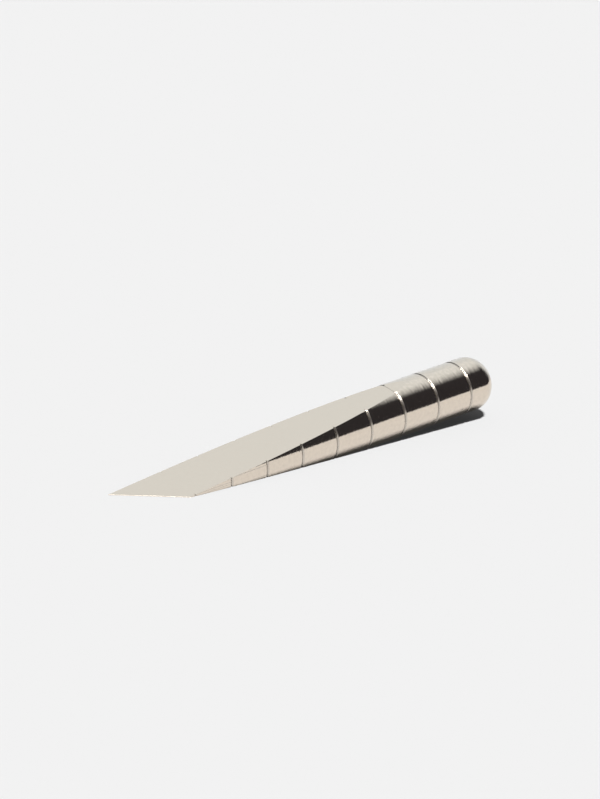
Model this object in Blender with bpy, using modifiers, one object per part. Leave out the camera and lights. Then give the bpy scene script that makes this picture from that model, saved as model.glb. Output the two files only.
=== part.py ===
"""A snap-off knife turned from round bar: a domed end cap, eight segments and a blade tip.

Two ground flats run forward from the round end and meet in a cutting edge that crosses the bar at
45 degrees.  A V groove rings the bar at every joint.  Each piece plugs into the one behind it with a
flat tongue, and a pair of disc magnets holds every joint shut, so that the front piece snaps off.

The knife is modelled along its own axis (+X towards the end cap, the first joint at x = 0) under one
empty, which lays it on its lower flat with the middle of its footprint at the world origin.
"""

import math

import bmesh
import bpy
from mathutils import Matrix, Vector

MM = 0.001

# Driving dimensions
BAR_RADIUS = 9.0 * MM
PITCH = 14.25 * MM  # from one joint to the next
SEGMENTS = 8  # between the blade tip and the end cap
JOINTS = SEGMENTS + 1

# The wedge: two planes that would meet on a line crossing the axis at APEX_X
EDGE_ANGLE = math.radians(45)
WEDGE_HALF_ANGLE = math.radians(7)
APEX_X = -1.33 * BAR_RADIUS
EDGE_X = -1.22 * BAR_RADIUS  # where the cutting edge, ground to a narrow land, crosses the axis

# The end cap's straight part and its dome, measured from the last joint
CAP_STRAIGHT = 0.64 * BAR_RADIUS
DOME_HEIGHT = 0.85 * BAR_RADIUS

# The joints
FACE_GAP = 0.04 * MM  # between two closed faces
GROOVE_DEPTH = 0.34 * MM  # a V groove is twice as wide as it is deep
TONGUE_LENGTH = 4.0 * MM
TONGUE_WIDTH = 5.0 * MM
TONGUE_Y = -1.0 * MM
TONGUE_THICKNESS = 0.7 * MM  # at the first joint
TONGUE_GROWTH = 0.9 * MM  # from one joint to the next
TONGUE_MOST = 3.4 * MM
TONGUE_ROOT = 1.0 * MM  # how far it reaches into its own piece
TONGUE_PLAY = 0.1 * MM
SOCKET_FLOOR_GAP = 0.5 * MM

MAGNET_Y = 5.3 * MM
MAGNET_DIAMETERS = [1.6 * MM, 3.0 * MM, 4.0 * MM] + [5.0 * MM] * (JOINTS - 3)
MAGNET_LENGTHS = [1.4 * MM] + [2.0 * MM] * (JOINTS - 1)
MAGNET_INSET = 0.05 * MM  # below the face it sits in
GLUE_GAP = 0.1 * MM

BAR_SIDES = 64
MAGNET_SIDES = 24
DOME_STEPS = 12
CUT_MARGIN = 30.0 * MM  # how far a cutter reaches past what it cuts
POCKET_MOUTH_REACH = 3.0 * MM  # how far a pocket's cutter reaches out of the face

TURN_TO_X = Matrix.Rotation(math.radians(90), 4, "Y")


def clear_scene():
    for leftover in list(bpy.data.objects):
        bpy.data.objects.remove(leftover)


def new_collection(name):
    collection = bpy.data.collections.new(name)
    bpy.context.scene.collection.children.link(collection)
    return collection


def metal(name, colour, roughness):
    material = bpy.data.materials.new(name)
    material.use_nodes = True
    shader = material.node_tree.nodes["Principled BSDF"]
    shader.inputs["Base Color"].default_value = (*colour, 1.0)
    shader.inputs["Metallic"].default_value = 1.0
    shader.inputs["Roughness"].default_value = roughness
    return material


def add_object(name, mesh, collection, parent, location=(0, 0, 0)):
    made = bpy.data.objects.new(name, mesh)
    made.parent = parent
    made.location = location
    collection.objects.link(made)
    return made


def mesh_from(name, build):
    """A mesh filled by build(bm)."""
    bm = bmesh.new()
    build(bm)
    mesh = bpy.data.meshes.new(name)
    bm.to_mesh(mesh)
    bm.free()
    return mesh


def rod_mesh(name, radius, start, end, sides):
    """A cylinder along +X from start to end."""

    def build(bm):
        place = Matrix.Translation(((start + end) / 2, 0, 0)) @ TURN_TO_X
        bmesh.ops.create_cone(
            bm, cap_ends=True, segments=sides, radius1=radius, radius2=radius,
            depth=end - start, matrix=place,
        )

    return mesh_from(name, build)


def box_mesh(name, low, high):
    """A box between two corners."""
    low, high = Vector(low), Vector(high)

    def build(bm):
        size = Matrix.Diagonal((*(high - low), 1))
        bmesh.ops.create_cube(bm, size=1, matrix=Matrix.Translation((low + high) / 2) @ size)

    return mesh_from(name, build)


def add_cutter(name, mesh, collection, parent, location=(0, 0, 0)):
    cutter = add_object(name, mesh, collection, parent, location)
    cutter.hide_render = True
    cutter.display_type = "WIRE"
    return cutter


def boolean(target, other, operation="DIFFERENCE"):
    modifier = target.modifiers.new(f"{operation.lower()}_{other.name}", "BOOLEAN")
    modifier.operation = operation
    modifier.solver = "EXACT"
    modifier.object = other


def joint_x(joint):
    """Where joint 1 to 9 crosses the axis: 1 is behind the blade tip, 9 in front of the end cap."""
    return (joint - 1) * PITCH


def tongue_thickness(joint):
    return min(TONGUE_THICKNESS + (joint - 1) * TONGUE_GROWTH, TONGUE_MOST)


def wedge_cutters(collection, parent):
    """A box above the upper flat and one below the lower flat, and one in front of the edge."""
    reach = joint_x(JOINTS) + CUT_MARGIN
    across = 2 * reach
    turn = Matrix.Rotation(EDGE_ANGLE, 4, "Z")
    cutters = []
    for name, side in (("above_upper_flat", 1), ("below_lower_flat", -1)):
        low_z, high_z = sorted((0, side * CUT_MARGIN))
        mesh = box_mesh(name, (-CUT_MARGIN, -across, low_z), (across, across, high_z))
        tilt = Matrix.Rotation(-side * WEDGE_HALF_ANGLE, 4, "Y")
        mesh.transform(turn @ tilt)
        cutters.append(add_cutter(name, mesh, collection, parent, (APEX_X, 0, 0)))
    front = box_mesh(
        "in_front_of_edge", (-CUT_MARGIN, -across, -CUT_MARGIN), (0, across, CUT_MARGIN)
    )
    front.transform(turn)
    edge = add_cutter("in_front_of_edge", front, collection, parent, (EDGE_X, 0, 0))
    return cutters, edge


def chamfer_rims(piece):
    """Half a V groove on each rim of a turned blank."""
    modifier = piece.modifiers.new("half_grooves", "BEVEL")
    modifier.width = GROOVE_DEPTH
    modifier.segments = 1
    modifier.limit_method = "ANGLE"
    modifier.angle_limit = math.radians(60)


def add_tongue(piece, joint, cutters, parent):
    """The tongue on the rear face of a piece. It plugs into the piece behind that joint."""
    x, half = joint_x(joint), tongue_thickness(joint) / 2
    low = (-FACE_GAP / 2 - TONGUE_ROOT, TONGUE_Y - TONGUE_WIDTH / 2, -half)
    high = (-FACE_GAP / 2 + TONGUE_LENGTH, TONGUE_Y + TONGUE_WIDTH / 2, half)
    name = f"tongue_{joint}"
    tongue = add_cutter(name, box_mesh(name, low, high), cutters, parent, (x, 0, 0))
    boolean(piece, tongue, "UNION")


def cut_socket(piece, joint, cutters, parent):
    """The socket in the front face of a piece, which takes the tongue at that joint."""
    x, half = joint_x(joint), tongue_thickness(joint) / 2 + TONGUE_PLAY
    side = TONGUE_WIDTH / 2 + TONGUE_PLAY
    low = (-TONGUE_LENGTH, TONGUE_Y - side, -half)
    high = (TONGUE_LENGTH + SOCKET_FLOOR_GAP, TONGUE_Y + side, half)
    name = f"socket_{joint}"
    socket = add_cutter(name, box_mesh(name, low, high), cutters, parent, (x, 0, 0))
    boolean(piece, socket)


def add_magnet(piece, joint, side, material, parts, cutters, parent):
    """A disc magnet in the face on one side of a joint: -1 in the piece in front, 1 behind."""
    radius = MAGNET_DIAMETERS[joint - 1] / 2
    length = MAGNET_LENGTHS[joint - 1]
    outer = side * (FACE_GAP / 2 + MAGNET_INSET)
    start, end = sorted((outer, outer + side * length))
    place = (joint_x(joint), MAGNET_Y, 0)
    name = f"magnet_{'front' if side < 0 else 'rear'}_{joint}"
    magnet = add_object(
        name, rod_mesh(name, radius, start, end, MAGNET_SIDES), parts, parent, place
    )
    magnet.data.materials.append(material)

    mouth, floor = sorted((-side * POCKET_MOUTH_REACH, outer + side * (length + GLUE_GAP)))
    pocket_name = f"pocket_{name}"
    pocket_mesh = rod_mesh(pocket_name, radius + GLUE_GAP, mouth, floor, MAGNET_SIDES)
    boolean(piece, add_cutter(pocket_name, pocket_mesh, cutters, parent, place))


def turned_blank(name, front, rear, origin_x, material, parts, parent):
    """A length of bar with both rims chamfered, its origin on the axis at origin_x."""
    mesh = rod_mesh(name, BAR_RADIUS, front - origin_x, rear - origin_x, BAR_SIDES)
    blank = add_object(name, mesh, parts, parent, (origin_x, 0, 0))
    blank.data.materials.append(material)
    chamfer_rims(blank)
    return blank


def cap_profile():
    """Half the end cap's section, from the centre of its front face round to the dome's pole."""
    front = FACE_GAP / 2
    points = [
        (front, 0.0),
        (front, BAR_RADIUS - GROOVE_DEPTH),
        (front + GROOVE_DEPTH, BAR_RADIUS),
    ]
    for step in range(DOME_STEPS + 1):
        angle = math.pi / 2 * step / DOME_STEPS
        along = CAP_STRAIGHT + DOME_HEIGHT * math.sin(angle)
        points.append((along, BAR_RADIUS * math.cos(angle)))
    points[-1] = (CAP_STRAIGHT + DOME_HEIGHT, 0.0)
    return points


def turned_cap(material, parts, parent):
    profile = cap_profile()

    def build(bm):
        corners = [bm.verts.new((x, 0, radius)) for x, radius in profile]
        for first, second in zip(corners, corners[1:]):
            bm.edges.new((first, second))

    cap = add_object(
        "end_cap", mesh_from("end_cap", build), parts, parent, (joint_x(JOINTS), 0, 0)
    )
    cap.data.materials.append(material)
    turning = cap.modifiers.new("turning", "SCREW")
    turning.axis = "X"
    turning.angle = 2 * math.pi
    turning.steps = turning.render_steps = BAR_SIDES
    turning.use_merge_vertices = True
    turning.merge_threshold = 0.00001
    turning.use_normal_calculate = True
    return cap


def lay_on_lower_flat(knife_frame, parts):
    """Turns the frame so that the lower flat is level, and puts its middle over the origin."""
    rise = math.tan(WEDGE_HALF_ANGLE)
    normal = Vector((rise * math.cos(EDGE_ANGLE), rise * math.sin(EDGE_ANGLE), 1)).normalized()
    along = (Vector((1, 0, 0)) - normal.x * normal).normalized()
    turn = Matrix((along, normal.cross(along), normal)).to_4x4()
    knife_frame.matrix_world = turn
    bpy.context.view_layer.update()
    graph = bpy.context.evaluated_depsgraph_get()
    corners = []
    for piece in parts.objects:
        evaluated = piece.evaluated_get(graph)
        mesh = evaluated.to_mesh()
        corners += [evaluated.matrix_world @ vertex.co for vertex in mesh.vertices]
        evaluated.to_mesh_clear()
    low = Vector(map(min, *corners))
    high = Vector(map(max, *corners))
    middle = Vector(((low.x + high.x) / 2, (low.y + high.y) / 2, low.z))
    knife_frame.matrix_world = Matrix.Translation(-middle) @ turn


def main():
    clear_scene()
    parts = new_collection("snap_off_knife")
    cutters = new_collection("cutters")
    knife_frame = bpy.data.objects.new("knife_frame", None)
    bpy.context.scene.collection.objects.link(knife_frame)

    steel = metal("polished_steel", (0.74, 0.70, 0.65), 0.16)
    nickel = metal("magnet_nickel", (0.66, 0.65, 0.63), 0.28)
    flats, edge = wedge_cutters(cutters, knife_frame)

    pieces = []
    stock_front = EDGE_X - 2 * BAR_RADIUS
    rear = joint_x(1) - FACE_GAP / 2
    tip = turned_blank("blade_tip", stock_front, rear, joint_x(1), steel, parts, knife_frame)
    pieces.append(tip)
    for number in range(1, SEGMENTS + 1):
        front = joint_x(number) + FACE_GAP / 2
        rear = joint_x(number + 1) - FACE_GAP / 2
        blank = turned_blank(
            f"segment_{number}", front, rear, joint_x(number + 1), steel, parts, knife_frame
        )
        pieces.append(blank)
    pieces.append(turned_cap(steel, parts, knife_frame))

    for piece in pieces:
        for flat in flats:
            boolean(piece, flat)
    boolean(tip, edge)
    for joint in range(1, JOINTS + 1):
        in_front, behind = pieces[joint - 1], pieces[joint]
        add_tongue(in_front, joint, cutters, knife_frame)
        cut_socket(behind, joint, cutters, knife_frame)
        add_magnet(in_front, joint, -1, nickel, parts, cutters, knife_frame)
        add_magnet(behind, joint, 1, nickel, parts, cutters, knife_frame)

    lay_on_lower_flat(knife_frame, parts)


main()
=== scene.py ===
"""Looks of a snap-off knife turned from round bar: polished steel segments held by disc magnets.

Every piece is modelled along the knife's own axis (+X towards the end cap, the first joint at x = 0)
and then laid on its lower flat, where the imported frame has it.
"""

import math

import bmesh
import bpy
from mathutils import Matrix, Vector


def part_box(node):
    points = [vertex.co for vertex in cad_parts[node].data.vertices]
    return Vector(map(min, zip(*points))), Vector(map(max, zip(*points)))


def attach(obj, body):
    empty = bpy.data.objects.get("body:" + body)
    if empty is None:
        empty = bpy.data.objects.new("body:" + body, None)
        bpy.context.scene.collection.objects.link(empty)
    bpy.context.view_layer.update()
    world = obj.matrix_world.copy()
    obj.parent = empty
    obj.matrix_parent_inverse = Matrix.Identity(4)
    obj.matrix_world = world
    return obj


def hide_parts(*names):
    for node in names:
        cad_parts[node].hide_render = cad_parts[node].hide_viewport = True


MM = 0.001

# The knife's driving dimensions, as the frame was built
BAR_RADIUS = 9.0 * MM
PITCH = 14.25 * MM
SEGMENTS = 8
JOINTS = SEGMENTS + 1
EDGE_ANGLE = math.radians(45)
WEDGE_HALF_ANGLE = math.radians(7)
APEX_X = -1.33 * BAR_RADIUS  # where the planes of the flats would meet on the axis
EDGE_X = -1.22 * BAR_RADIUS  # where the cutting edge crosses the axis, blunt by the difference
CAP_STRAIGHT = 0.64 * BAR_RADIUS  # from the last joint to the dome
DOME_HEIGHT = 0.85 * BAR_RADIUS
FRAME_FACE_GAP = 0.04 * MM  # between the joint faces in the frame, which places the magnets
TONGUE_LENGTH = 4.0 * MM
TONGUE_WIDTH = 5.0 * MM
TONGUE_Y = -1.0 * MM
TONGUE_THICKNESS = 0.7 * MM  # at the first joint
TONGUE_GROWTH = 0.9 * MM  # from each joint to the next
TONGUE_MOST = 3.4 * MM
TONGUE_ROOT = 1.0 * MM  # how far it runs into its own piece
TONGUE_PLAY = 0.1 * MM  # on each side of its socket
SOCKET_FLOOR_GAP = 0.5 * MM
MAGNET_Y = 5.3 * MM
MAGNET_DIAMETERS = [1.6 * MM, 3.0 * MM, 4.0 * MM] + [5.0 * MM] * (JOINTS - 3)
MAGNET_LENGTHS = [1.4 * MM] + [2.0 * MM] * (JOINTS - 1)
MAGNET_INSET = 0.05 * MM
GLUE_GAP = 0.1 * MM

# The fine surface
FACE_GAP = 0.002 * MM  # lapped faces, too close for the seam to show on the flats
GROOVE_SLOPE = 0.28 * MM  # the height and width of a groove's sloping wall
GROOVE_BOTTOM = 0.10 * MM  # from the wall's foot to the slit
GROOVE_FILLET = 0.09 * MM
SLIT_WIDTH = 0.12 * MM  # the narrow slit round each joint, at the bottom of its groove
SLIT_DEPTH = 0.35 * MM
SHOULDER = (FACE_GAP + SLIT_WIDTH) / 2 + GROOVE_BOTTOM  # from a joint to the wall's foot
LIP_ROUND = 0.10 * MM  # on the lips of the grooves
ARRIS_ROUND = 0.015 * MM  # where the flats meet the round
EDGE_ROUND = 0.09 * MM  # on the worn cutting edge
TONGUE_CHAMFER = 0.12 * MM
MAGNET_CHAMFER = 0.12 * MM
BAR_SIDES = 256
DOME_RINGS = 96
MAGNET_SIDES = 64
SMOOTH_ANGLE = math.radians(30)

# How exactly faces and edges are picked
WELD = 1e-7
NEAR = 10 * WELD
NEAR_CIRCLE = 100 * WELD
FLAT_MATCH = 0.999999  # the least cosine between a face's normal and its flat's
EDGE_MATCH = 0.999
ROUND_MATCH = 0.01  # the most that a face of the round leans along the axis
LEAST_ARRIS = math.radians(12)  # a duller corner than this is left as it is
SKIN = 0.003 * MM  # faces further in than this are not part of the turned outside

# Colours, as linear light
STEEL = (0.753, 0.661, 0.559)
GROUND_STEEL = (0.722, 0.634, 0.536)
# The machined colour is darker than the turned steel: it is painted shade in the grooves and slits,
# and the same colour goes on the hidden joint faces.
MACHINED_STEEL_PAINTED_SHADE = (0.62, 0.56, 0.49)
NICKEL = (0.70, 0.68, 0.65)
PAPER = (0.80, 0.80, 0.80)

# Each finish: its colour, roughness, tool marks per metre along X, Y and Z, their height and mottle
FINISHES = {
    "turned_steel": (STEEL, 0.10, (1400, 110, 110), 1.5e-4, 0.05),
    "ground_steel": (GROUND_STEEL, 0.14, (300, 3000, 300), 1e-7, 0.01),
    # The machined finish's darker colour is painted shade in the grooves and slits.
    "machined_steel_painted_shade": (MACHINED_STEEL_PAINTED_SHADE, 0.28, (2500, 2500, 2500), 1e-6, 0.05),
    "plated_nickel": (NICKEL, 0.18, (1500, 1500, 1500), 5e-7, 0.03),
    "worn_edge": (STEEL, 0.36, (2500, 2500, 2500), 1e-6, 0.05),
}
STEEL_FINISHES = ("turned_steel", "ground_steel", "machined_steel_painted_shade", "worn_edge")
GROUND, MACHINED_PAINTED_SHADE, WORN = 1, 2, 3  # their material slots
MARK_DETAIL = 3.0
MARK_ROUGHNESS = 0.6
MOTTLE_SCALE = 900.0  # patches per metre
MOTTLE_DETAIL = 4.0
MOTTLE_RANGE = (0.3, 0.7)  # the noise's own usual range

RISE = math.tan(WEDGE_HALF_ANGLE)
FLAT_NORMAL = Vector((-RISE * math.cos(EDGE_ANGLE), -RISE * math.sin(EDGE_ANGLE), 1)).normalized()
LOWER_NORMAL = Vector((FLAT_NORMAL.x, FLAT_NORMAL.y, -FLAT_NORMAL.z))
EDGE_NORMAL = Vector((-math.cos(EDGE_ANGLE), -math.sin(EDGE_ANGLE), 0))
APEX = Vector((APEX_X, 0, 0))


# ---- Modelling by hand -------------------------------------------------------------------


def select_only(piece):
    bpy.ops.object.select_all(action="DESELECT")
    piece.select_set(True)
    bpy.context.view_layer.objects.active = piece


def added(name):
    """The primitive that was just added, named, with its place and size in its mesh."""
    piece = bpy.context.object
    piece.name = piece.data.name = name
    bpy.ops.object.transform_apply(location=True, rotation=True, scale=True)
    return piece


def add_rod(name, radius, start, end, sides, y=0.0):
    """A cylinder along the knife's axis from start to end."""
    bpy.ops.object.select_all(action="DESELECT")
    bpy.ops.mesh.primitive_cylinder_add(
        vertices=sides, radius=radius, depth=end - start,
        location=((start + end) / 2, y, 0), rotation=(0, math.pi / 2, 0),
    )
    return added(name)


def add_block(name, low, high):
    """A box between two corners."""
    low, high = Vector(low), Vector(high)
    bpy.ops.object.select_all(action="DESELECT")
    bpy.ops.mesh.primitive_cube_add(size=1, location=(low + high) / 2, scale=high - low)
    return added(name)


def pick(piece, mode, wanted):
    """In edit mode, selects just the vertices, edges or faces that wanted says."""
    bpy.ops.mesh.select_mode(type=mode)
    bpy.ops.mesh.select_all(action="DESELECT")
    bm = bmesh.from_edit_mesh(piece.data)
    elements = {"VERT": bm.verts, "EDGE": bm.edges, "FACE": bm.faces}[mode]
    for element in elements:
        if wanted(element):
            element.select_set(True)
    bm.select_flush_mode()
    bmesh.update_edit_mesh(piece.data)


def bevel_edges(piece, wanted, width, segments=1):
    select_only(piece)
    bpy.ops.object.mode_set(mode="EDIT")
    pick(piece, "EDGE", wanted)
    bpy.ops.mesh.bevel(offset=width, offset_type="OFFSET", segments=segments, affect="EDGES")
    bpy.ops.object.mode_set(mode="OBJECT")


def cut_away(piece, point, normal):
    """Removes what lies beyond a plane, and closes the cut."""
    select_only(piece)
    bpy.ops.object.mode_set(mode="EDIT")
    bpy.ops.mesh.select_all(action="SELECT")
    bpy.ops.mesh.bisect(
        plane_co=point, plane_no=normal, use_fill=True, clear_outer=True, threshold=WELD
    )
    bpy.ops.object.mode_set(mode="OBJECT")


def combine(piece, other, operation):
    """Joins other to the piece or cuts it out, and removes other."""
    select_only(piece)
    modifier = piece.modifiers.new(operation.lower(), "BOOLEAN")
    modifier.operation = operation
    modifier.solver = "EXACT"
    modifier.object = other
    bpy.ops.object.modifier_apply(modifier=modifier.name)
    bpy.data.objects.remove(other)


# ---- The turned and ground pieces --------------------------------------------------------


def joint_x(joint):
    return (joint - 1) * PITCH


def around_axis(point):
    return math.hypot(point.y, point.z)


def is_loop_at(x, radius):
    """Picks the edges of a circle round the axis."""

    def wanted(edge):
        return all(
            abs(vertex.co.x - x) < NEAR and abs(around_axis(vertex.co) - radius) < NEAR_CIRCLE
            for vertex in edge.verts
        )

    return wanted


def turn_groove_half(piece, x, inward):
    """Half a groove on the rim at x: wall, bottom, then half the slit, which ends at the joint.

    inward is +1 or -1, from the end into the piece.
    """
    bevel_edges(piece, is_loop_at(x, BAR_RADIUS), GROOVE_SLOPE)
    bevel_edges(piece, is_loop_at(x + inward * GROOVE_SLOPE, BAR_RADIUS), LIP_ROUND, segments=4)

    bpy.ops.object.mode_set(mode="EDIT")
    pick(piece, "FACE", lambda face: all(abs(v.co.x - x) < NEAR for v in face.verts))
    bpy.ops.mesh.extrude_region_move(
        TRANSFORM_OT_translate={"value": (-inward * GROOVE_BOTTOM, 0, 0)}
    )
    bpy.ops.mesh.inset(thickness=SLIT_DEPTH)
    bpy.ops.mesh.extrude_region_move(
        TRANSFORM_OT_translate={"value": (-inward * SLIT_WIDTH / 2, 0, 0)}
    )
    bpy.ops.object.mode_set(mode="OBJECT")
    foot = is_loop_at(x, BAR_RADIUS - GROOVE_SLOPE)
    bevel_edges(piece, foot, GROOVE_FILLET, segments=4)


def is_flat_face(face):
    return any(face.normal.dot(normal) > FLAT_MATCH for normal in (FLAT_NORMAL, LOWER_NORMAL))


def grind_flats(piece):
    """Grinds the wedge's two flats, and just breaks the corners they leave along the round."""
    cut_away(piece, APEX, FLAT_NORMAL)
    cut_away(piece, APEX, LOWER_NORMAL)

    def is_arris(edge):
        flats = [face for face in edge.link_faces if is_flat_face(face)]
        others = [face for face in edge.link_faces if not is_flat_face(face)]
        if not flats or not others:
            return False
        if min(around_axis(vertex.co) for vertex in edge.verts) < BAR_RADIUS - WELD:
            return False
        return abs(others[0].normal.x) < ROUND_MATCH and edge.calc_face_angle() > LEAST_ARRIS

    bevel_edges(piece, is_arris, ARRIS_ROUND, segments=2)


def is_upper_cutting_edge(edge):
    normals = [face.normal for face in edge.link_faces]
    return any(n.dot(EDGE_NORMAL) > EDGE_MATCH for n in normals) and any(
        n.dot(FLAT_NORMAL) > EDGE_MATCH for n in normals
    )


def blade_tip():
    """The first piece, cut off on the slant so that its flats end in the cutting edge."""
    stock_front = EDGE_X - 2 * BAR_RADIUS
    rear = joint_x(1) - SHOULDER
    piece = add_rod("blade_tip_steel", BAR_RADIUS, stock_front, rear, BAR_SIDES)
    turn_groove_half(piece, rear, -1)
    cut_away(piece, Vector((EDGE_X, 0, 0)), EDGE_NORMAL)
    grind_flats(piece)
    bevel_edges(piece, is_upper_cutting_edge, EDGE_ROUND, segments=4)
    return piece


def segment(number):
    """The piece between a joint and the next, both counted from the tip."""
    front = joint_x(number) + SHOULDER
    rear = joint_x(number + 1) - SHOULDER
    piece = add_rod(f"segment_{number}_steel", BAR_RADIUS, front, rear, BAR_SIDES)
    turn_groove_half(piece, front, 1)
    turn_groove_half(piece, rear, -1)
    grind_flats(piece)
    return piece


def end_cap():
    """A sphere stretched to the dome's height, cut in half and drawn out forwards to the joint."""
    start = joint_x(JOINTS) + CAP_STRAIGHT
    bpy.ops.object.select_all(action="DESELECT")
    bpy.ops.mesh.primitive_uv_sphere_add(
        segments=BAR_SIDES, ring_count=DOME_RINGS, radius=BAR_RADIUS,
        location=(start, 0, 0), rotation=(0, math.pi / 2, 0),
    )
    bpy.context.object.scale = (1, 1, DOME_HEIGHT / BAR_RADIUS)
    piece = added("end_cap_steel")

    bpy.ops.object.mode_set(mode="EDIT")
    pick(piece, "VERT", lambda vertex: vertex.co.x < start - NEAR)
    bpy.ops.mesh.delete(type="VERT")
    front = joint_x(JOINTS) + SHOULDER
    pick(piece, "EDGE", lambda edge: edge.is_boundary)
    bpy.ops.mesh.extrude_region_move(TRANSFORM_OT_translate={"value": (front - start, 0, 0)})
    bpy.ops.mesh.edge_face_add()
    bpy.ops.mesh.select_all(action="SELECT")
    bpy.ops.mesh.normals_make_consistent(inside=False)
    bpy.ops.object.mode_set(mode="OBJECT")
    turn_groove_half(piece, front, 1)
    return piece


# ---- The joints --------------------------------------------------------------------------


def tongue_thickness(joint):
    return min(TONGUE_THICKNESS + (joint - 1) * TONGUE_GROWTH, TONGUE_MOST)


def add_tongue(piece, joint):
    """The flat tongue on a piece's rear face, chamfered at its tip."""
    x, half = joint_x(joint), tongue_thickness(joint) / 2
    tip = x - FACE_GAP / 2 + TONGUE_LENGTH
    tongue = add_block(
        f"tongue_{joint}",
        (x - FACE_GAP / 2 - TONGUE_ROOT, TONGUE_Y - TONGUE_WIDTH / 2, -half),
        (tip, TONGUE_Y + TONGUE_WIDTH / 2, half),
    )
    bevel_edges(tongue, lambda edge: any(v.co.x > tip - WELD for v in edge.verts), TONGUE_CHAMFER)
    combine(piece, tongue, "UNION")


def cut_socket(piece, joint):
    """The hollow for the tongue of the piece in front."""
    x, half = joint_x(joint), tongue_thickness(joint) / 2 + TONGUE_PLAY
    side = TONGUE_WIDTH / 2 + TONGUE_PLAY
    socket = add_block(
        f"socket_{joint}",
        (x - TONGUE_LENGTH, TONGUE_Y - side, -half),
        (x + TONGUE_LENGTH + SOCKET_FLOOR_GAP, TONGUE_Y + side, half),
    )
    combine(piece, socket, "DIFFERENCE")


def magnet_span(joint, side):
    """The magnet's start and end along the axis."""
    outer = joint_x(joint) + side * (FRAME_FACE_GAP / 2 + MAGNET_INSET)
    return sorted((outer, outer + side * MAGNET_LENGTHS[joint - 1]))


def add_magnet(joint, side):
    """A plated disc with its rims chamfered: side is -1 in the piece in front, 1 behind."""
    start, end = magnet_span(joint, side)
    radius = MAGNET_DIAMETERS[joint - 1] / 2
    name = f"{'front' if side < 0 else 'rear'}_magnet_{joint}"
    magnet = add_rod(name, radius, start, end, MAGNET_SIDES, MAGNET_Y)

    def is_rim(edge):
        return all(min(abs(v.co.x - start), abs(v.co.x - end)) < WELD for v in edge.verts) and (
            abs(edge.verts[0].co.x - edge.verts[1].co.x) < WELD
        )

    bevel_edges(magnet, is_rim, MAGNET_CHAMFER, segments=2)
    return magnet


def cut_pocket(piece, joint, side):
    """The round hollow for a magnet, open at the joint face."""
    start, end = magnet_span(joint, side)
    mouth = joint_x(joint) - side * TONGUE_LENGTH
    floor = end + GLUE_GAP if side > 0 else start - GLUE_GAP
    radius = MAGNET_DIAMETERS[joint - 1] / 2 + GLUE_GAP
    low, high = sorted((mouth, floor))
    pocket = add_rod(f"pocket_{joint}", radius, low, high, MAGNET_SIDES, MAGNET_Y)
    combine(piece, pocket, "DIFFERENCE")


# ---- Materials ---------------------------------------------------------------------------


def new_material(name):
    material = bpy.data.materials.new(name)
    material.use_nodes = True
    return material, material.node_tree.nodes, material.node_tree.links


def add_knife_coordinates(nodes, links, lay):
    """Object coordinates turned back to the knife's own axis."""
    coordinates = nodes.new("ShaderNodeTexCoord")
    along_axis = nodes.new("ShaderNodeMapping")
    along_axis.vector_type = "TEXTURE"
    along_axis.inputs["Location"].default_value = lay.translation
    along_axis.inputs["Rotation"].default_value = lay.to_euler("XYZ")
    links.new(coordinates.outputs["Object"], along_axis.inputs["Vector"])
    return along_axis.outputs["Vector"]


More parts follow.
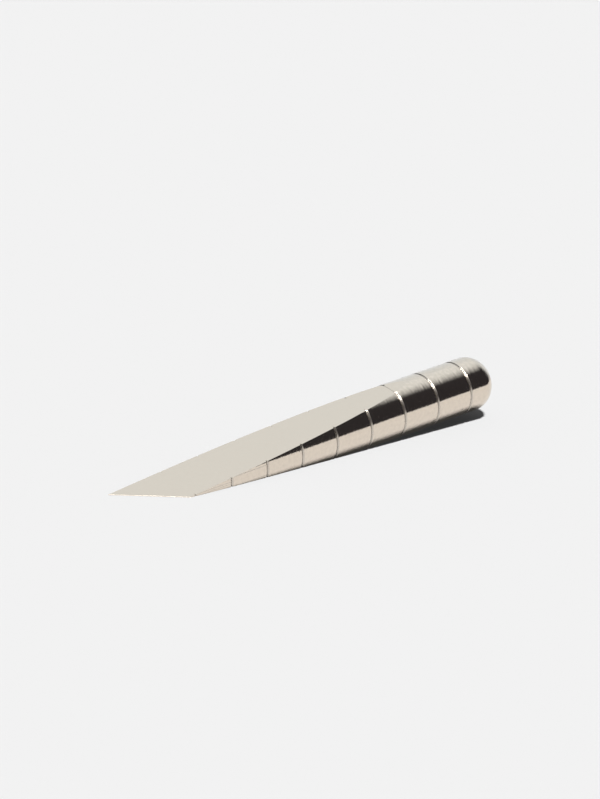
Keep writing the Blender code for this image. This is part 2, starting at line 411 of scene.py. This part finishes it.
def tool_marks_group():
    """Fine marks drawn out along one direction, with a faint mottle over them."""
    group = bpy.data.node_groups.new("tool_marks", "ShaderNodeTree")
    face = group.interface
    face.new_socket("Vector", in_out="INPUT", socket_type="NodeSocketVector")
    for name in ("Mark Height", "Mottle", "Roughness"):
        face.new_socket(name, in_out="INPUT", socket_type="NodeSocketFloat")
    face.new_socket("Colour", in_out="INPUT", socket_type="NodeSocketColor")
    face.new_socket("Spacing", in_out="INPUT", socket_type="NodeSocketVector")
    face.new_socket("Colour", in_out="OUTPUT", socket_type="NodeSocketColor")
    face.new_socket("Roughness", in_out="OUTPUT", socket_type="NodeSocketFloat")
    face.new_socket("Normal", in_out="OUTPUT", socket_type="NodeSocketVector")
    nodes, links = group.nodes, group.links
    source = nodes.new("NodeGroupInput")
    sink = nodes.new("NodeGroupOutput")

    stretched = nodes.new("ShaderNodeMapping")
    links.new(source.outputs["Vector"], stretched.inputs["Vector"])
    links.new(source.outputs["Spacing"], stretched.inputs["Scale"])
    marks = nodes.new("ShaderNodeTexNoise")
    marks.inputs["Scale"].default_value = 1.0
    marks.inputs["Detail"].default_value = MARK_DETAIL
    marks.inputs["Roughness"].default_value = MARK_ROUGHNESS
    links.new(stretched.outputs["Vector"], marks.inputs["Vector"])
    bump = nodes.new("ShaderNodeBump")
    bump.inputs["Distance"].default_value = 1.0
    bump.inputs["Strength"].default_value = 1.0
    height = nodes.new("ShaderNodeMath")
    height.operation = "MULTIPLY"
    links.new(marks.outputs["Fac"], height.inputs[0])
    links.new(source.outputs["Mark Height"], height.inputs[1])
    links.new(height.outputs["Value"], bump.inputs["Height"])
    links.new(bump.outputs["Normal"], sink.inputs["Normal"])

    mottle = nodes.new("ShaderNodeTexNoise")
    mottle.inputs["Scale"].default_value = MOTTLE_SCALE
    mottle.inputs["Detail"].default_value = MOTTLE_DETAIL
    links.new(source.outputs["Vector"], mottle.inputs["Vector"])
    centred = nodes.new("ShaderNodeMapRange")
    centred.inputs["From Min"].default_value = MOTTLE_RANGE[0]
    centred.inputs["From Max"].default_value = MOTTLE_RANGE[1]
    centred.inputs["To Min"].default_value = -1.0
    centred.inputs["To Max"].default_value = 1.0
    links.new(mottle.outputs["Fac"], centred.inputs["Value"])
    amount = nodes.new("ShaderNodeMath")
    amount.operation = "MULTIPLY_ADD"
    amount.inputs[2].default_value = 1.0
    links.new(centred.outputs["Result"], amount.inputs[0])
    links.new(source.outputs["Mottle"], amount.inputs[1])
    shade = nodes.new("ShaderNodeVectorMath")
    shade.operation = "SCALE"
    links.new(source.outputs["Colour"], shade.inputs[0])
    links.new(amount.outputs["Value"], shade.inputs["Scale"])
    links.new(shade.outputs["Vector"], sink.inputs["Colour"])
    rough = nodes.new("ShaderNodeMath")
    rough.operation = "MULTIPLY"
    links.new(source.outputs["Roughness"], rough.inputs[0])
    links.new(amount.outputs["Value"], rough.inputs[1])
    links.new(rough.outputs["Value"], sink.inputs["Roughness"])
    return group


def metal(name, lay, group, colour, roughness, spacing, mark_height, mottle):
    material, nodes, links = new_material(name)
    shader = nodes["Principled BSDF"]
    shader.inputs["Metallic"].default_value = 1.0
    marks = nodes.new("ShaderNodeGroup")
    marks.node_tree = group
    marks.inputs["Colour"].default_value = (*colour, 1.0)
    marks.inputs["Roughness"].default_value = roughness
    marks.inputs["Mark Height"].default_value = mark_height
    marks.inputs["Mottle"].default_value = mottle
    marks.inputs["Spacing"].default_value = spacing
    links.new(add_knife_coordinates(nodes, links, lay), marks.inputs["Vector"])
    links.new(marks.outputs["Colour"], shader.inputs["Base Color"])
    links.new(marks.outputs["Roughness"], shader.inputs["Roughness"])
    links.new(marks.outputs["Normal"], shader.inputs["Normal"])
    return material


def paint_steel(piece, steels):
    """The outside is turned, the flats ground, the edge worn, and the rest is machined, in a darker
    colour that is painted shade in the grooves and slits.
    """
    for material in steels:
        piece.data.materials.append(material)
    dome_start = joint_x(JOINTS) + CAP_STRAIGHT - WELD
    edge_middle = Vector((EDGE_X, 0, 0))
    for face in piece.data.polygons:
        if is_flat_face(face):
            face.material_index = GROUND
        elif (face.center - edge_middle).dot(EDGE_NORMAL) > -EDGE_ROUND:
            face.material_index = WORN
        # The grooves, slits and hidden joint faces get the darker machined colour, which paints shade
        # into the grooves.
        elif face.center.x < dome_start and around_axis(face.center) < BAR_RADIUS - SKIN:
            face.material_index = MACHINED_PAINTED_SHADE


# ---- Finishing and laying down ------------------------------------------------------------


def lay_matrix():
    """From the knife's own axis to the frame, found from the plane of the lower flat and a magnet."""
    normal = -LOWER_NORMAL
    along = (Vector((1, 0, 0)) - normal.x * normal).normalized()
    turn = Matrix((along, normal.cross(along), normal)).to_4x4()
    low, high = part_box(f"magnet_rear_{JOINTS}")
    middle = (Vector(low) + Vector(high)) / 2
    own_middle = Vector((sum(magnet_span(JOINTS, 1)) / 2, MAGNET_Y, 0))
    return Matrix.Translation(middle - turn @ own_middle) @ turn


def finish_steel(piece, lay, steels):
    paint_steel(piece, steels)
    select_only(piece)
    bpy.ops.object.shade_smooth_by_angle(angle=SMOOTH_ANGLE, keep_sharp_edges=True)
    bpy.ops.object.mode_set(mode="EDIT")
    pick(piece, "FACE", is_flat_face)
    bpy.ops.mesh.region_to_loop()
    bpy.ops.mesh.mark_sharp()
    bpy.ops.object.mode_set(mode="OBJECT")
    lay_down(piece, lay)
    settle_normals(piece)


def settle_normals(piece):
    """Lets the broad faces keep their own normals, so that only the rounded corners turn."""
    modifier = piece.modifiers.new("settle", "WEIGHTED_NORMAL")
    modifier.weight = 100
    modifier.keep_sharp = True
    bpy.ops.object.modifier_apply(modifier=modifier.name)


def lay_down(piece, lay):
    select_only(piece)
    piece.matrix_world = lay
    bpy.ops.object.transform_apply(location=True, rotation=True, scale=True)


# ---- The studio --------------------------------------------------------------------------

VIEW_AZIMUTH = math.radians(39.32)
VIEW_ELEVATION = math.radians(16.77)
VIEW_DISTANCE = 1.0278
LOOK_AT = Vector((-0.0192, -0.0175, 0.0264))
LENS = 150.35
SENSOR_WIDTH = 36.0
VIEW_RANGE = (0.05, 50.0)

# Two floors: a wide one for the camera, and just below it a small one for the steel to mirror
FLOOR_SIZE = 12.0
MIRRORED_FLOOR_SIZE = 0.56
MIRRORED_FLOOR_DEPTH = 0.02 * MM
SEEN_GLOW = 0.024
MIRRORED_GLOW = 0.030

# Far lamps: azimuth, elevation and spread. The key lights the knife and the floor that the camera
# sees, the glint adds to it on the knife only, the ceiling lights the floor that the steel mirrors,
# and the fill lights both floors.
KEY = (math.radians(-161), math.radians(61.2), math.radians(5.5))
KEY_STRENGTH = 3.64
GLINT = (math.radians(-123), math.radians(83.4), math.radians(9))
GLINT_STRENGTH = 1.2
CEILING = (math.radians(180), math.radians(84), math.radians(28))
CEILING_STRENGTH = 3.35
FILL = (0.0, math.radians(90), math.radians(170))
FILL_STRENGTH = 0.20

# The light cards that the steel mirrors: azimuth, elevation, spread and the width of the soft edge
CARD_ABOVE = (math.radians(40), math.radians(75), math.radians(29.5), math.radians(17))
CARD_BEHIND = (math.radians(44), math.radians(20), math.radians(38), math.radians(8))
CARD_ABOVE_LIGHT = (0.97, 1.03, 1.07)
CARD_BEHIND_LIGHT = (0.81, 0.87, 0.915)
DARK_ROOM = (0.032, 0.030, 0.034)
BACKGROUND = (0.877, 0.877, 0.877)


def direction(azimuth, elevation):
    """Azimuth from +Y towards +X."""
    return Vector((
        math.sin(azimuth) * math.cos(elevation),
        math.cos(azimuth) * math.cos(elevation),
        math.sin(elevation),
    ))


def add_camera():
    data = bpy.data.cameras.new("camera")
    data.lens = LENS
    data.sensor_width = SENSOR_WIDTH
    data.clip_start, data.clip_end = VIEW_RANGE
    camera = bpy.data.objects.new("camera", data)
    bpy.context.scene.collection.objects.link(camera)
    away = direction(VIEW_AZIMUTH, -VIEW_ELEVATION)
    camera.location = LOOK_AT - VIEW_DISTANCE * away
    camera.rotation_euler = away.to_track_quat("-Z", "Y").to_euler()
    bpy.context.scene.camera = camera


def add_sun(name, place, strength, linked, state):
    """A far lamp that lights the linked objects only (INCLUDE) or all but them (EXCLUDE)."""
    azimuth, elevation, spread = place
    data = bpy.data.lights.new(name, "SUN")
    data.energy = strength
    data.angle = spread
    lamp = bpy.data.objects.new(name, data)
    bpy.context.scene.collection.objects.link(lamp)
    lamp.rotation_euler = direction(azimuth, elevation).to_track_quat("Z", "Y").to_euler()
    lit = bpy.data.collections.new(f"linked_to_{name}")
    for thing in linked:
        lit.objects.link(thing)
    for entry in lit.collection_objects:
        entry.light_linking.link_state = state
    lamp.light_linking.receiver_collection = lit


def add_floor(name, size, depth, paper):
    bpy.ops.object.select_all(action="DESELECT")
    bpy.ops.mesh.primitive_plane_add(size=size, location=(0, 0, -depth))
    floor = bpy.context.object
    floor.name = name
    floor.data.materials.append(paper)
    return floor


def pale_paper(name, glow):
    """Matt paper; its faint glow stands for the light that the shadow still gets."""
    material, nodes, _ = new_material(name)
    shader = nodes["Principled BSDF"]
    shader.inputs["Base Color"].default_value = (*PAPER, 1.0)
    shader.inputs["Roughness"].default_value = 1.0
    shader.inputs["Specular IOR Level"].default_value = 0.0
    shader.inputs["Emission Color"].default_value = (1.0, 1.0, 1.0, 1.0)
    shader.inputs["Emission Strength"].default_value = glow
    return material


def add_card(nodes, links, behind, card, light):
    """A round card of light with a soft edge, laid over what is behind it."""
    azimuth, elevation, spread, softness = card
    coordinates = nodes.new("ShaderNodeTexCoord")
    facing = nodes.new("ShaderNodeVectorMath")
    facing.operation = "DOT_PRODUCT"
    facing.inputs[1].default_value = direction(azimuth, elevation)
    links.new(coordinates.outputs["Generated"], facing.inputs[0])
    edge = nodes.new("ShaderNodeMapRange")
    edge.interpolation_type = "SMOOTHSTEP"
    edge.inputs["From Min"].default_value = math.cos(spread + softness)
    edge.inputs["From Max"].default_value = math.cos(spread - softness)
    links.new(facing.outputs["Value"], edge.inputs["Value"])
    shown = nodes.new("ShaderNodeMix")
    shown.data_type = "RGBA"
    shown.blend_type = "LIGHTEN"
    shown.inputs["B"].default_value = (*light, 1.0)
    links.new(behind, shown.inputs["A"])
    links.new(edge.outputs["Result"], shown.inputs["Factor"])
    return shown.outputs["Result"]


def add_surroundings():
    """A dark room with cards of light above and behind, plain where the camera sees it."""
    world = bpy.data.worlds.new("studio")
    bpy.context.scene.world = world
    world.use_nodes = True
    nodes, links = world.node_tree.nodes, world.node_tree.links
    room = nodes.new("ShaderNodeRGB")
    room.outputs["Color"].default_value = (*DARK_ROOM, 1.0)
    light = add_card(nodes, links, room.outputs["Color"], CARD_BEHIND, CARD_BEHIND_LIGHT)
    light = add_card(nodes, links, light, CARD_ABOVE, CARD_ABOVE_LIGHT)
    rays = nodes.new("ShaderNodeLightPath")
    seen = nodes.new("ShaderNodeMix")
    seen.data_type = "RGBA"
    seen.inputs["B"].default_value = (*BACKGROUND, 1.0)
    links.new(rays.outputs["Is Camera Ray"], seen.inputs["Factor"])
    links.new(light, seen.inputs["A"])
    links.new(seen.outputs["Result"], nodes["Background"].inputs["Color"])
    world.cycles_visibility.diffuse = False


def add_studio():
    add_camera()
    seen_paper = pale_paper("seen_paper", SEEN_GLOW)
    seen_floor = add_floor("studio_floor", FLOOR_SIZE, 0.0, seen_paper)
    seen_floor.visible_glossy = False
    seen_floor.visible_shadow = False
    mirrored_paper = pale_paper("mirrored_paper", MIRRORED_GLOW)
    mirrored_floor = add_floor(
        "mirrored_floor", MIRRORED_FLOOR_SIZE, MIRRORED_FLOOR_DEPTH, mirrored_paper
    )
    mirrored_floor.visible_camera = False
    mirrored_floor.visible_diffuse = False
    mirrored_floor.visible_shadow = False
    add_sun("key", KEY, KEY_STRENGTH, [mirrored_floor], "EXCLUDE")
    add_sun("glint", GLINT, GLINT_STRENGTH, [seen_floor, mirrored_floor], "EXCLUDE")
    add_sun("ceiling", CEILING, CEILING_STRENGTH, [mirrored_floor], "INCLUDE")
    add_sun("fill", FILL, FILL_STRENGTH, [seen_floor, mirrored_floor], "INCLUDE")
    add_surroundings()
    scene = bpy.context.scene
    scene.view_settings.view_transform = "Standard"
    scene.cycles.caustics_reflective = False


# ---- The knife ---------------------------------------------------------------------------


def make_knife():
    lay = lay_matrix()
    marks = tool_marks_group()
    metals = {name: metal(name, lay, marks, *finish) for name, finish in FINISHES.items()}
    steels = [metals[name] for name in STEEL_FINISHES]

    names = ["blade_tip"] + [f"segment_{n}" for n in range(1, SEGMENTS + 1)] + ["end_cap"]
    pieces = [blade_tip()] + [segment(n) for n in range(1, SEGMENTS + 1)] + [end_cap()]
    for joint in range(1, JOINTS + 1):
        in_front, behind = pieces[joint - 1], pieces[joint]
        add_tongue(in_front, joint)
        cut_socket(behind, joint)
        cut_pocket(in_front, joint, -1)
        cut_pocket(behind, joint, 1)
    for name, piece in zip(names, pieces):
        finish_steel(piece, lay, steels)
        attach(piece, name)
        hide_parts(name)

    for joint in range(1, JOINTS + 1):
        for side, end, body in ((-1, "front", names[joint - 1]), (1, "rear", names[joint])):
            magnet = add_magnet(joint, side)
            magnet.data.materials.append(metals["plated_nickel"])
            select_only(magnet)
            bpy.ops.object.shade_smooth_by_angle(angle=SMOOTH_ANGLE)
            lay_down(magnet, lay)
            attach(magnet, body)
            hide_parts(f"magnet_{end}_{joint}")


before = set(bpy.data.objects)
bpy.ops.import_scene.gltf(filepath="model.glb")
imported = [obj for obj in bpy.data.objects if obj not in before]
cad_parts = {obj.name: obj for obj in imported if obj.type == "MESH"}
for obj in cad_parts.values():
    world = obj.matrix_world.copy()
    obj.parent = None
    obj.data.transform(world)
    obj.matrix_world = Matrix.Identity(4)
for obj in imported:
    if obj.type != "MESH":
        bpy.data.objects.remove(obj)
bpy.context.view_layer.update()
add_studio()
make_knife()
